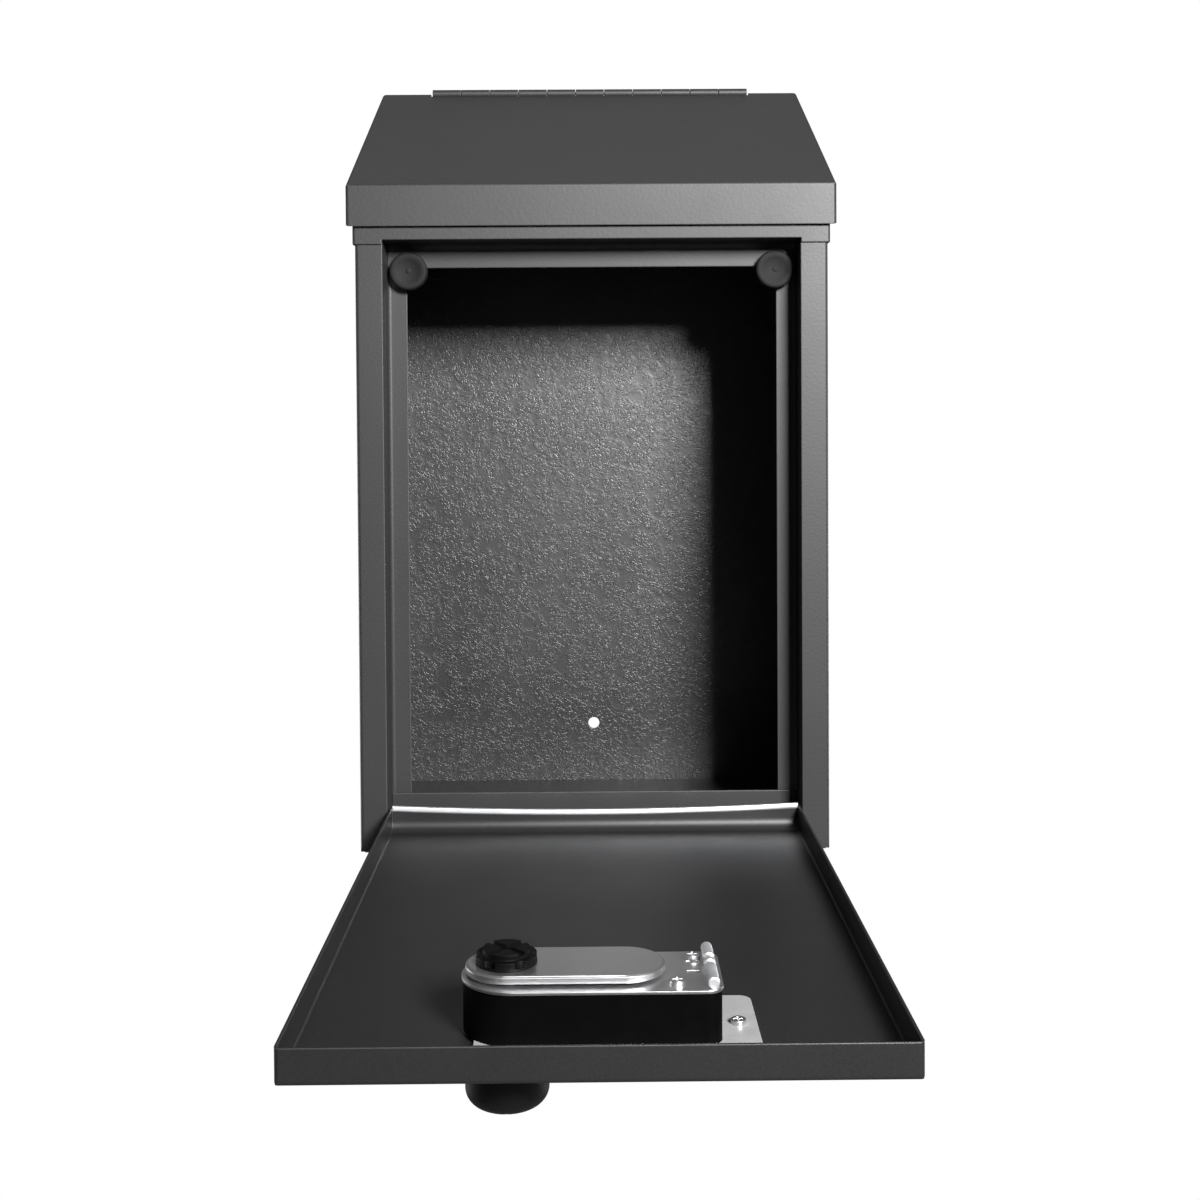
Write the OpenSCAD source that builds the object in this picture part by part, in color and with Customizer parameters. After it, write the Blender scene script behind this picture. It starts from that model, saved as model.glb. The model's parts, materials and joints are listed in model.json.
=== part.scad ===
// Wall-mounted parcel drop box: lift-up sloping lid to post through, drop-down door to empty it.
// Millimetres. +X right, +Z up, the door faces -Y. The origin is the centre of the wall bolts,
// on the wall face. Sub-parts are drawn with y = 0 at the front and z = 0 at the foot of the box,
// and on_wall() moves them to that origin. The door is drawn open, the lid closed.

/* [Box body] */
// Width over the side panels
body_w = 270; // [220:5:340]
// Depth from the front flanges to the wall
body_d = 160; // [130:5:220]
// Height of the side panels at the front
front_h = 380.5; // [310:0.5:470]
// Rise of the roof towards the wall, in degrees
roof_slope = 27.3; // [15:0.1:35]
// Thickness of the sheet steel
sheet_t = 1.2; // [0.8:0.1:1.6]
// Width of the flanges on each side of the door
flange_w = 15.6; // [12:0.2:22]
// Bend radius of the sheet, at mid thickness
bend_r = 1.6; // [1.2:0.1:2.4]
// Outer bend radius of the lid's and the door's edges
edge_r = 2.2; // [2:0.1:3]
// Outer bend radius at the foot of the door's rear lip
rear_r = 7.5; // [3:0.5:8]
// Depth of the header strip from the top of the side panels to the door opening
header_h = 29.8; // [24:0.2:40]
// How far the header runs back round each side panel
header_return = 20; // [10:1:30]
// How much lower the header ends over the side flanges than over the opening
header_step = 2.6; // [1:0.1:4]

/* [Door frame] */
// How far the side stop strips reach into the opening
stop_side_lap = 11.4; // [8:0.2:16]
// How far the top stop strip hangs into the opening
stop_top_lap = 14.1; // [10:0.1:18]
// Height of the bottom stop strip's top edge
stop_bottom_top = 28.2; // [26:0.1:32]
// Bend radius of the top stop strip, at mid thickness
top_bend_r = 5; // [2:0.5:6]
// Diameter of the rubber door bumpers
bumper_d = 22; // [16:1:26]
// Thickness of the rubber door bumpers
bumper_t = 7.5; // [5:0.5:9]
// Gap between the closed door's lips and the bumpers
bumper_gap = 0.8; // [0.6:0.1:4]

/* [Door] */
// Depth of the door's turned lips
door_lip = 14.2; // [12:0.1:18]
// Gap between the door's sides and the flanges
door_side_gap = 1.65; // [1:0.05:3]
// Gap between the closed door and the header
door_top_gap = 2.2; // [1.5:0.1:4]
// Height of the closed door's bottom edge
sill_h = 27.2; // [26:0.1:30]
// Height of the open door's outer face
open_skin_z = 11.1; // [10:0.1:12]
// Dip in the middle of the door's rear lip
rear_lip_dip = 2.9; // [0:0.1:4]
// Height of the bright band that caps the rear lip
band_h = 2.6; // [1.5:0.1:3]

/* [Hinges] */
// Outer radius of the door hinge's knuckles
door_knuckle_r = 2.6; // [2.3:0.1:3]
// Outer radius of the lid hinge's knuckles
lid_knuckle_r = 2.8; // [2.3:0.1:3]
// Radius of both hinge pins
pin_r = 1.2; // [0.9:0.1:1.5]
// Thickness of the hinge leaves
leaf_t = 1; // [0.8:0.1:1.2]
// Length of one knuckle of the door hinge
door_knuckle_l = 19.5; // [15:0.5:30]
// Length of one knuckle of the lid hinge
lid_knuckle_l = 19.2; // [15:0.1:30]

/* [Lid] */
// Gap between the side panels and the lid's side lips
lid_side_gap = 3.3; // [2.5:0.1:5]
// How far the lid reaches out in front of the box
lid_overhang = 4; // [3.5:0.5:8]
// Height of the lid's turned-down lips
lid_lip_h = 23.7; // [18:0.1:32]
// Gap between the roof and the top of the side panels
lid_gap = 2; // [1.5:0.1:4]
// Gap between the lid's back edge and the wall
lid_wall_gap = 1.4; // [1.2:0.1:3]

/* [Baffle] */
// Depth of the posting mouth in front of the baffle
mouth_d = 78; // [60:1:90]
// Depth of the baffle's back edge under the roof
baffle_drop = 35; // [30:1:45]
// Height of the baffle's back flange
baffle_flange = 18; // [12:1:22]
// Height of the baffle's front lip
baffle_lip = 13; // [8:1:20]

/* [Wall bolts] */
// Diameter of the wall bolt holes
bolt_d = 7.5; // [5:0.1:9]
// Height of the lower bolt hole
lower_bolt_z = 40; // [35:1:70]
// Least distance of the upper bolt hole below the baffle's back flange
upper_bolt_drop = 12; // [8:1:40]

/* [Lock] */
// Sideways place of the knob's axis, from the middle of the door
knob_x = -36; // [-50:1:-20]
// Distance of the knob's axis from the door's free edge
knob_back = 46; // [42:1:60]
// Length of the lock case
lock_l = 100; // [96:1:130]
// Width of the lock case
lock_w = 40; // [38:1:50]
// Distance from the knob's axis to the lock case's near end
lock_end = 17; // [16:0.5:22]
// Depth of the keypad housing outside the door
keypad_t = 10.5; // [9:0.5:12]
// Diameter of the knob
knob_d = 33; // [28:1:40]
// Height of the knob over the keypad housing
knob_h = 16.2; // [8:0.1:20]
// Radius of the spindle
spindle_r = 4; // [3:0.1:5]
// Gap between the cam plate and the back of the top stop strip, with the door closed
latch_gap = 1.2; // [1:0.1:4]
// Thickness of the cam plate
cam_t = 3; // [2:0.5:4]
// Width of the cam plate
cam_w = 32; // [26:1:34]
// Reach of the cam plate from the knob's axis
cam_reach = 62; // [60:1:64]

/* [Keys] */
// Diameter of a key
key_d = 8.6; // [7:0.1:9]
// Distance from key to key along a row
key_pitch = 13; // [12.5:0.1:13]
// Distance between the two rows
key_rows = 16; // [14:0.5:18]
// How far a key stands out of the housing
key_proud = 2.2; // [1.6:0.1:3]

/* [Hidden] */
$fn = 48;

powder_coat = "#4b4b4d";
zinc = "#c9cbcd";
black = "#161617";
rubber = "#2b2b2c";
brass = "#b49a5a";

fit_gap = 0.06;        // radial gap of a turning or pushed fit
part_gap = 0.35;       // gap between pieces that move past each other
half_w = body_w / 2;
half_open = half_w - flange_w;
rise = tan(roof_slope);
mid_t = sheet_t / 2;
open_top = front_h - header_h;
header_top = front_h - 2.2;
foot_chamfer = 2.8;    // on the side flanges' bottom corners
stop_depth = door_lip + bumper_gap + bumper_t;
inner_back = body_d - sheet_t;

// Lid: height of the roof's upper face at depth y
lid_half = half_w + lid_side_gap + sheet_t;
roof_t = sheet_t / cos(roof_slope);
function roof_z(y) = front_h + lid_gap + roof_t + y * rise;
lid_back = body_d - lid_wall_gap;
lid_foot = roof_z(-lid_overhang) - lid_lip_h;

// Lid hinge: the leaf lies under the roof and the barrel stands over it
lid_pivot_y = body_d - lid_knuckle_r - 0.2;
barrel_rise = lid_knuckle_r - sheet_t - leaf_t;
lid_pivot_z = roof_z(lid_pivot_y) + barrel_rise / cos(roof_slope);
lid_knuckles = 2 * floor((body_w - 2 * lid_knuckle_l) / lid_knuckle_l / 2) - 1;
lid_hinge_l = lid_knuckles * lid_knuckle_l;
back_top = lid_pivot_z - lid_knuckle_r - 4;

// Door: it is flush with the front when closed, so its pivot lies half way between both places
pivot_y = (sill_h - open_skin_z) / 2;
pivot_z = (sill_h + open_skin_z) / 2;
door_w = 2 * (half_open - door_side_gap);
door_l = open_top - door_top_gap - sill_h;
door_knuckles = 2 * floor((door_w - 12) / door_knuckle_l / 2) - 1;
door_hinge_l = door_knuckles * door_knuckle_l;
rear_lip_top = door_lip - sheet_t;
band_w = door_w - 2 * sheet_t - 0.2;
sill_top = open_skin_z + 2.1;
sill_gap = 0.4;        // between the open door's rear lip and the sill
leaf_foot = 6.5;       // from the door's outer face to the foot of its hinge leaf

// Baffle: its front edge is level with the side panels' front, its back edge follows the roof
baffle_front_z = front_h - 6;
baffle_back_y = inner_back - mid_t;
baffle_back_z = roof_z(baffle_back_y) - baffle_drop;

// Wall bolts, a whole number of centimetres apart
bolt_spacing = 10 * floor((baffle_back_z - baffle_flange - upper_bolt_drop - lower_bolt_z) / 10);
upper_bolt_z = lower_bolt_z + bolt_spacing;
bolt_mid_z = lower_bolt_z + bolt_spacing / 2;

// Lock, over the door's outer face: the cam plate passes behind the top stop strip
plate_t = 1.5;                       // base plate
back_plate_t = 1.2;
cam_lift = 1.3;                      // from the back plate to the cam plate
cam_z = stop_depth + sheet_t + latch_gap;
lock_h = cam_z - cam_lift - back_plate_t;
skin_hole_r = spindle_r + 2;         // the bush's hole in the door
spindle_square = 1.4 * spindle_r;    // across the flats that drive the cam
thread_r = 0.65 * spindle_r;
nut_h = 3.4;
crown_h = 2.2;
thread_l = nut_h + 0.5;
screw_r = 1.5;
screw_head_h = 1.8;
screw_l = 12;
screw_places = [[cam_reach + 4, -13], [cam_reach + 11.5, 13]];
plate_over = 15;                     // from the case's square end to the base plate's
end_screw_x = lock_l - lock_end + plate_over / 2;
change_pin_r = 2.3;
change_pin_x = lock_l - lock_end - 1.5 * change_pin_r;

// Keys, in two rows
key_columns = 5;
key_travel = 1.5;
key_first_x = lock_l - lock_end - 8.5 - (key_columns - 1) * key_pitch;
wall = 2;                            // keypad housing

module on_wall() translate([0, -body_d, -bolt_mid_z]) children();

// Draws a profile of y and z, w wide, centred on x = 0
module along_x(w) translate([-w / 2, 0, 0]) rotate([90, 0, 90]) linear_extrude(w) children();

// Draws a profile of x and z, from y to y + t
module along_y(y, t) translate([0, y + t, 0]) rotate([90, 0, 0]) linear_extrude(t) children();

module rod_x(x, l, r) translate([x, 0, 0]) rotate([0, 90, 0]) cylinder(h = l, r = r);

function unit(v) = v / norm(v);
function left(v) = [-v[1], v[0]];
function turned(v, a) = [v[0] * cos(a) - v[1] * sin(a), v[0] * sin(a) + v[1] * cos(a)];

// Points and left normals along the middle of a strip, its corners bent to radius r in n steps
function bend_run(path, r, n) = [
    [path[0], left(unit(path[1] - path[0]))],
    for (i = [1 : len(path) - 2]) for (k = [0 : n])
        let (
            d = unit(path[i] - path[i - 1]),
            e = unit(path[i + 1] - path[i]),
            turn = atan2(d[0] * e[1] - d[1] * e[0], d * e),
            side = sign(turn) * r,
            centre = path[i] - d * r * tan(abs(turn) / 2) + left(d) * side,
            dir = turned(d, turn * k / n)
        ) [centre - left(dir) * side, left(dir)],
    [path[len(path) - 1], left(unit(path[len(path) - 1] - path[len(path) - 2]))]
];

// Section of a sheet folded along a path
module folded(path, r = bend_r, t = sheet_t, n = 5) {
    run = bend_run(path, r, n);
    polygon(concat(
        [for (q = run) q[0] + q[1] * t / 2],
        [for (i = [len(run) - 1 : -1 : 0]) run[i][0] - run[i][1] * t / 2]
    ));
}

// Rectangle with its corners rounded to r
module rounded(w, h, r) {
    square([w - 2 * r, h], center = true);
    square([w, h - 2 * r], center = true);
    for (x = [-1, 1], y = [-1, 1]) translate([x * (w / 2 - r), y * (h / 2 - r)]) circle(r);
}

// Quarter arc of radius r, from straight down to straight right, about a centre
function quarter(centre, r, n) = [
    for (k = [0 : n]) centre + r * [sin(90 * k / n), -cos(90 * k / n)]
];

// Rectangle from x = -w / 2 to w / 2 and y = low to high, its lower right corner rounded to r
// and its lower left corner to left_r
module trough(w, low, high, r, left_r, n = 4) {
    right_arc = quarter([w / 2 - r, low + r], r, r > 2 * left_r ? 2 * n : n);
    left_arc = quarter([w / 2 - left_r, low + left_r], left_r, n);
    polygon(concat(right_arc, [[w / 2, high], [-w / 2, high]],
        [for (i = [n : -1 : 0]) [-left_arc[i][0], left_arc[i][1]]]));
}

// Every second knuckle of a hinge, starting from knuckle number first
module knuckles(count, l, r, first) {
    for (i = [first : 2 : count - 1])
        rod_x(-count * l / 2 + i * l + part_gap / 2, l - part_gap, r);
}

// The same stretches of a hinge, as blocks that join the knuckles to their leaf
module knuckle_blocks(count, l, first, y, dy, z, dz) {
    for (i = [first : 2 : count - 1])
        translate([-count * l / 2 + i * l + part_gap / 2, y, z]) cube([l - part_gap, dy, dz]);
}

// ---- Box body ----

module side_panel(side) {
    cut_h = front_h + body_d * rise + 20;
    difference() {
        linear_extrude(cut_h) folded([
            [side * half_open, mid_t], [side * (half_w - mid_t), mid_t],
            [side * (half_w - mid_t), inner_back]
        ]);
        translate([-half_w - 1, 0, front_h]) rotate([roof_slope, 0, 0])
            translate([0, -body_d, 0]) cube([body_w + 2, 3 * body_d, body_d]);
        translate([side * half_w, -1, 0]) rotate([0, 45, 0]) 
            cube([foot_chamfer * sqrt(2), 4 * sheet_t, foot_chamfer * sqrt(2)], center = true);
    }
}

module left_side_panel() on_wall() color(powder_coat) side_panel(-1);
module right_side_panel() on_wall() color(powder_coat) side_panel(1);

module back_panel() on_wall() color(powder_coat) difference() {
    translate([-half_w, inner_back, 0]) cube([body_w, sheet_t, back_top]);
    for (z = [lower_bolt_z, upper_bolt_z])
        translate([0, inner_back - 1, z]) rotate([-90, 0, 0]) cylinder(h = sheet_t + 2, d = bolt_d);
}

module bottom_panel() on_wall() color(powder_coat)
    translate([-half_w + sheet_t, sheet_t, 0])
        cube([body_w - 2 * sheet_t, inner_back - sheet_t, sheet_t]);

module header_rail() on_wall() color(powder_coat) difference() {
    x = half_w + mid_t;
    z = open_top - header_step;
    translate([0, 0, z]) linear_extrude(header_top - z)
        folded([[-x, header_return], [-x, -mid_t], [x, -mid_t], [x, header_return]], r = 1.2);
    translate([-half_open, -5, z - 1]) cube([2 * half_open, 10, header_step + 1]);
}

// Sill under the door: front strip, shelf for the hinge, and bottom stop strip
module front_threshold() on_wall() color(powder_coat)
    along_x(2 * half_open) folded([
        [sill_gap + mid_t, sheet_t], [sill_gap + mid_t, sill_top - mid_t],
        [stop_depth + mid_t, sill_top - mid_t], [stop_depth + mid_t, stop_bottom_top]
    ]);

module door_jamb(side) difference() {
    x = half_open + mid_t;
    translate([0, 0, sheet_t]) linear_extrude(open_top)
        folded([
            [side * x, sheet_t], [side * x, stop_depth + mid_t],
            [side * (half_open - stop_side_lap), stop_depth + mid_t]
        ], r = 3);
    translate([-half_open, -1, -1]) cube([2 * half_open, body_d, stop_bottom_top + 1]);
    translate([-half_open, -1, open_top - stop_top_lap]) cube([2 * half_open, body_d, body_d]);
}

module left_door_jamb() on_wall() color(powder_coat) door_jamb(-1);
module right_door_jamb() on_wall() color(powder_coat) door_jamb(1);

module top_door_jamb() on_wall() color(powder_coat)
    along_x(2 * half_open) folded([
        [0, open_top + mid_t], [stop_depth + mid_t, open_top + mid_t],
        [stop_depth + mid_t, open_top - stop_top_lap]
    ], r = top_bend_r, n = 8);

// Rubber pads on the top corners of the stop frame, with a rounded front rim
module door_bumpers() on_wall() color(rubber)
    for (side = [-1, 1])
        translate([
            side * (half_open - stop_side_lap - 1.5), stop_depth, open_top - stop_top_lap - 2.2
        ]) rotate([90, 0, 0]) rotate_extrude() {
            rim = 1.2;
            square([bumper_d / 2 - rim, bumper_t]);
            square([bumper_d / 2, bumper_t - rim]);
            translate([bumper_d / 2 - rim, bumper_t - rim]) circle(rim);
        }

// Sloping plate that leaves only a front mouth, and keeps hands and hooks from the parcels
module baffle_plate() on_wall() color(powder_coat)
    along_x(body_w - 2 * sheet_t) folded([
        [baffle_back_y, baffle_back_z - baffle_flange], [baffle_back_y, baffle_back_z],
        [mouth_d, baffle_front_z], [mouth_d, baffle_front_z - baffle_lip]
    ]);

// Rubber trim pushed on the header's upper edge, which the lid comes down on
module header_seal() on_wall() color(rubber)
    along_x(2 * half_open - 2) difference() {
        translate([-sheet_t - 1, header_top - 5]) square([sheet_t + 2, 7.2]);
        translate([-sheet_t, header_top - 6]) square([sheet_t, 6]);
    }

module lid_hinge_body_leaf() on_wall() color(zinc) translate([0, lid_pivot_y, lid_pivot_z])
    difference() {
        y = inner_back - lid_pivot_y - leaf_t;
        free_top = -lid_knuckle_r - 0.6;
        union() {
            translate([-lid_hinge_l / 2, y, -24]) cube([lid_hinge_l, leaf_t, 24 + free_top]);
            knuckle_blocks(lid_knuckles, lid_knuckle_l, 0, y, leaf_t, free_top - 0.1, 2);
            knuckles(lid_knuckles, lid_knuckle_l, lid_knuckle_r, 0);
        }
        rod_x(-lid_hinge_l, 2 * lid_hinge_l, pin_r + fit_gap);
    }

module lid_hinge_pin() on_wall() color(zinc) translate([0, lid_pivot_y, lid_pivot_z])
    rod_x(-lid_hinge_l / 2, lid_hinge_l, pin_r);

module door_hinge_body_leaf() on_wall() color(zinc) translate([0, pivot_y, pivot_z])
    difference() {
        web = door_knuckle_r - leaf_t;
        foot = sill_top - pivot_z;
        union() {
            translate([-door_hinge_l / 2, web, foot]) cube([door_hinge_l, 12, leaf_t]);
            knuckle_blocks(door_knuckles, door_knuckle_l, 0, web, leaf_t, foot, -foot);
            knuckles(door_knuckles, door_knuckle_l, door_knuckle_r, 0);
        }
        rod_x(-door_hinge_l, 2 * door_hinge_l, pin_r + fit_gap);
    }

module door_hinge_pin() on_wall() color(zinc) translate([0, pivot_y, pivot_z])
    rod_x(-door_hinge_l / 2, door_hinge_l, pin_r);

// ---- Lid ----

// Solid under the roof and behind the lid's front, g inside its outer faces
module lid_block(g) {
    r = edge_r - g;
    y0 = -lid_overhang + g;
    beyond = sign(g) * 9;
    back = lid_back + beyond;
    drop = g / cos(roof_slope);
    run = bend_run([[y0, lid_foot - beyond], [y0, roof_z(y0) - drop], [back, roof_z(back) - drop]], r, 4);
    w = 2 * (lid_half - g);
    intersection() {
        along_x(w) polygon(concat([for (q = run) q[0]],
            [[back, roof_z(back) - lid_lip_h - beyond]]));
        translate([0, 0, roof_z(0)]) rotate([roof_slope, 0, 0]) along_y(-80, 2 * body_d + 80)
            rotate(180) trough(w, g, 200, r, r);
        linear_extrude(2 * front_h) trough(w, y0, back + 1, r, r);
    }
}

// Roof, front lip and side lips folded from one sheet, with a notch for the hinge's barrel
module lid_shell() on_wall() color(powder_coat) difference() {
    lid_block(0);
    lid_block(sheet_t);
    translate([-lid_hinge_l / 2 - 1, 0, 0]) translate([0, lid_pivot_y, lid_pivot_z])
        rotate([roof_slope, 0, 0]) translate([0, -lid_knuckle_r - 0.4, -9])
            cube([lid_hinge_l + 2, 20, 18]);
}

// Turned to lie along the roof, with its knuckles between those of the body leaf
module lid_hinge_lid_leaf() on_wall() color(zinc) translate([0, lid_pivot_y, lid_pivot_z])
    difference() {
        under = -lid_knuckle_r;
        union() {
            rotate([roof_slope, 0, 0]) {
                translate([-lid_hinge_l / 2, -22, under])
                    cube([lid_hinge_l, 22 - lid_knuckle_r - 0.6, leaf_t]);
                knuckle_blocks(lid_knuckles, lid_knuckle_l, 1, under - 1, -under + 1, under, leaf_t);
            }
            knuckles(lid_knuckles, lid_knuckle_l, lid_knuckle_r, 1);
        }
        rod_x(-lid_hinge_l, 2 * lid_hinge_l, pin_r + fit_gap);
    }

// ---- Door, drawn open ----

// Moves to the middle of the open door's rear edge, on its outer face
module on_door() translate([0, 0, open_skin_z]) children();

// Moves to the knob's axis, on the door's outer face
module on_lock() on_door() translate([knob_x, -door_l + knob_back, 0]) children();

// Height of the rear lip over the door's outer face: lowest in the middle
function rear_lip_z(x) = rear_lip_top - rear_lip_dip * (1 - pow(2 * x / door_w, 2));

// Strip between height low and the rear lip's curve raised by up
module rear_curve(w, low, up) {
    steps = 24;
    xs = [for (i = [0 : steps]) -w / 2 + i * w / steps];
    polygon(concat([[-w / 2, low], [w / 2, low]],
        [for (i = [steps : -1 : 0]) [xs[i], rear_lip_z(xs[i]) + up]]));
}

// Solid within the door's lips, g inside its outer faces
module door_block(g) {
    r = edge_r - g;
    w = door_w - 2 * g;
    top = door_lip + sign(g);
    intersection() {
        along_y(g - door_l, door_l - 2 * g) trough(w, g, top, r, r);
        along_x(w) translate([-door_l / 2, 0]) trough(door_l - 2 * g, g, top, rear_r - g, r);
        translate([0, 0, g]) linear_extrude(door_lip + 1) trough(w, g - door_l, -g, r, r);
    }
}

// Skin and four lips folded from one sheet; the rear lip's edge dips
module door_pan() on_wall() color(powder_coat) on_door() difference() {
    door_block(0);
    door_block(sheet_t);
    along_y(-sheet_t - 0.1, sheet_t + 0.2) difference() {
        translate([-door_w / 2 + sheet_t, rear_r]) square([door_w - 2 * sheet_t, door_lip]);
        rear_curve(band_w + 2, 0, 0);
    }
    translate([knob_x, -door_l + knob_back, -1]) {
        cylinder(h = sheet_t + 2, r = skin_hole_r + fit_gap);
        for (p = screw_places) translate([p[0], p[1], 0])
            cylinder(h = sheet_t + 2, r = screw_r + 0.5);
    }
}

// Leaf behind the rear lip, the band that caps the lip, and arms out to the knuckles
module door_hinge_door_leaf() on_wall() color(zinc) difference() {
    union() {
        on_door() {
            along_y(0, leaf_t) rear_curve(band_w, leaf_foot, 0.1);
            along_y(-sheet_t, sheet_t + leaf_t) difference() {
                rear_curve(band_w, leaf_foot, band_h);
                rear_curve(band_w + 2, 0, 0);
            }
        }
        translate([0, pivot_y, pivot_z]) {
            foot = open_skin_z + leaf_foot - pivot_z;
            knuckle_blocks(door_knuckles, door_knuckle_l, 1, -pivot_y, leaf_t,
                foot, door_knuckle_r - foot);
            knuckle_blocks(door_knuckles, door_knuckle_l, 1, leaf_t / 2 - pivot_y,
                pivot_y - leaf_t / 2, door_knuckle_r - leaf_t, leaf_t);
            knuckles(door_knuckles, door_knuckle_l, door_knuckle_r, 1);
        }
    }
    translate([0, pivot_y, pivot_z]) rod_x(-door_hinge_l, 2 * door_hinge_l, pin_r + fit_gap);
}

// ---- Lock on the door ----

// Outline of the lock case, grown by g: round at the knob's end, square at the other
module lock_outline(g = 0) {
    r = lock_w / 2;
    corner = 6;
    far = lock_l - lock_end;
    translate([r - lock_end, 0]) circle(r + g);
    translate([r - lock_end, -r - g]) square([far - r + lock_end - corner, lock_w + 2 * g]);
    translate([r, corner - r]) square([far - r + g, lock_w - 2 * corner]);
    for (side = [-1, 1]) translate([far - corner, side * (r - corner)]) circle(corner + g);
}

module spindle_hole(r = spindle_r + 0.5) translate([0, 0, -50]) cylinder(h = 100, r = r);

module screw_holes(r) for (p = screw_places) translate([p[0], p[1], -50]) cylinder(h = 100, r = r);

// Moulded plate under the case, which it passes at the square end
module lock_base_plate() on_wall() on_lock() color(rubber) difference() {
    start = -skin_hole_r - 6;
    l = lock_l - lock_end + plate_over - start;
    translate([start + l / 2, 0, sheet_t]) linear_extrude(plate_t) rounded(l, lock_w + 16, 5);
    spindle_hole(skin_hole_r + fit_gap);
    screw_holes(screw_r + 0.5);
    translate([end_screw_x, 0, 0]) cylinder(h = 2 * plate_t + sheet_t, r = screw_r);
}

module lock_body() on_wall() on_lock() color(black) difference() {
    translate([0, 0, sheet_t + plate_t]) linear_extrude(lock_h - sheet_t - plate_t) lock_outline();
    spindle_hole();
    screw_holes(screw_r);
}

module lock_back_plate() on_wall() on_lock() color(zinc) difference() {
    translate([0, 0, lock_h]) linear_extrude(back_plate_t) lock_outline(0.6);
    spindle_hole();
    screw_holes(screw_r);
    // Two adjusting slots beside the change pin
    for (y = [-2, 8]) translate([change_pin_x - 9, y, lock_h - 1]) cube([5, 2.4, back_plate_t + 2]);
}

// Pan-head screw with a cross slot, its head's foot at z = 0
module pan_head_screw(l) difference() {
    union() {
        cylinder(h = screw_head_h, r = 2 * screw_r);
        translate([0, 0, -l]) cylinder(h = l + 0.1, r = screw_r - 0.02);
    }
    for (a = [0, 90]) rotate([0, 0, a])
        translate([-2, -0.4, screw_head_h / 2]) cube([4, 0.8, screw_head_h]);
}

// Two screws through the back plate into the case, and one through the base plate's end
module lock_screws() on_wall() on_lock() color(zinc) {
    for (p = screw_places) translate([p[0], p[1], lock_h + back_plate_t]) pan_head_screw(screw_l);
    translate([end_screw_x, 0, sheet_t + plate_t]) pan_head_screw(plate_t);
}

// Bright stepped pin that lies across the end of the back plate: a core with three collars
module change_pin() on_wall() on_lock() color(zinc)
    translate([change_pin_x, lock_w / 2 - 1, lock_h + back_plate_t + change_pin_r])
        rotate([90, 0, 0]) {
            l = lock_w - 2;
            translate([0, 0, 1]) cylinder(h = l - 2, r = 0.7 * change_pin_r);
            for (collar = [[0, 12], [16, 3], [21.5, l - 21.5]])
                translate([0, 0, collar[0]]) cylinder(h = collar[1], r = change_pin_r);
        }

// Bush that the spindle turns in, through the door and the base plate
module spindle_bush() on_wall() on_lock() color(brass) difference() {
    translate([0, 0, wall - keypad_t]) cylinder(h = keypad_t - wall + sheet_t + plate_t, r = skin_hole_r);
    spindle_hole(spindle_r + fit_gap);
}

// Places one key of the two rows
module at_key(i) translate([
    key_first_x + (i % key_columns) * key_pitch, (i < key_columns ? -0.5 : 0.5) * key_rows, -keypad_t
]) children();

// Case outside the door: a shell open towards the door, with a hole for each key
module keypad_housing() on_wall() on_lock() color(black) difference() {
    translate([0, 0, -keypad_t]) linear_extrude(keypad_t) lock_outline(1);
    translate([0, 0, wall - keypad_t]) linear_extrude(keypad_t) difference() {
        lock_outline(1 - wall);
        circle(skin_hole_r + 3);
    }
    translate([0, 0, wall - keypad_t]) cylinder(h = keypad_t, r = skin_hole_r + fit_gap);
    spindle_hole();
    for (i = [0 : 2 * key_columns - 1]) at_key(i)
        translate([0, 0, -1]) cylinder(h = wall + 2, r = key_d / 2 + part_gap);
}

// Key with a dished face, a retaining flange inside the housing and a plunger
module key(i) on_wall() on_lock() color(zinc) at_key(i) difference() {
    r = key_d / 2;
    union() {
        translate([0, 0, 0.5 - key_proud]) cylinder(h = wall + key_proud - 0.3, r = r);
        translate([0, 0, -key_proud]) cylinder(h = 0.6, r = r - 0.5);
        translate([0, 0, wall + 0.2]) cylinder(h = 1.2, r = r + 1.2);
        translate([0, 0, wall + 1.3]) cylinder(h = keypad_t - wall - key_travel - 1.8, r = 1.8);
    }
    translate([0, 0, -key_proud - 19.6]) sphere(r = 20);
}

module key_1() key(0);
module key_2() key(1);
module key_3() key(2);
module key_4() key(3);
module key_5() key(4);
module key_6() key(5);
module key_7() key(6);
module key_8() key(7);
module key_9() key(8);
module key_0() key(9);

// ---- Knob, spindle and cam ----

// Domed knob with a finger groove across its face
module knob() on_wall() on_lock() color(black) translate([0, 0, -keypad_t - part_gap])
    rotate([180, 0, 0]) difference() {
        dome = 6.5;
        rotate_extrude($fn = 96) {
            square([knob_d / 2 - dome, knob_h]);
            square([knob_d / 2, knob_h - dome]);
            translate([knob_d / 2 - dome, knob_h - dome]) intersection() {
                circle(dome);
                square(dome);
            }
        }
        translate([0, 0, -1]) cylinder(h = knob_h - 2, r = spindle_r + 0.02);
        translate([-1, 5, knob_h - 1]) cube([2, knob_d / 2, 3]);
    }

module spindle() on_wall() on_lock() color(zinc) {
    knob_end = -keypad_t - part_gap - knob_h + 3.2;
    translate([0, 0, knob_end]) cylinder(h = cam_z - knob_end, r = spindle_r);
    translate([-spindle_square / 2, -spindle_square / 2, cam_z - 0.1])
        cube([spindle_square, spindle_square, cam_t + 0.1]);
    translate([0, 0, cam_z + cam_t - 0.1]) cylinder(h = thread_l + 0.1, r = thread_r);
}

module cam_washer() on_wall() on_lock() color(zinc) difference() {
    translate([0, 0, cam_z - cam_lift + part_gap])
        cylinder(h = cam_lift - part_gap, r = spindle_r + 5);
    spindle_hole(spindle_r + fit_gap);
}

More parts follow.
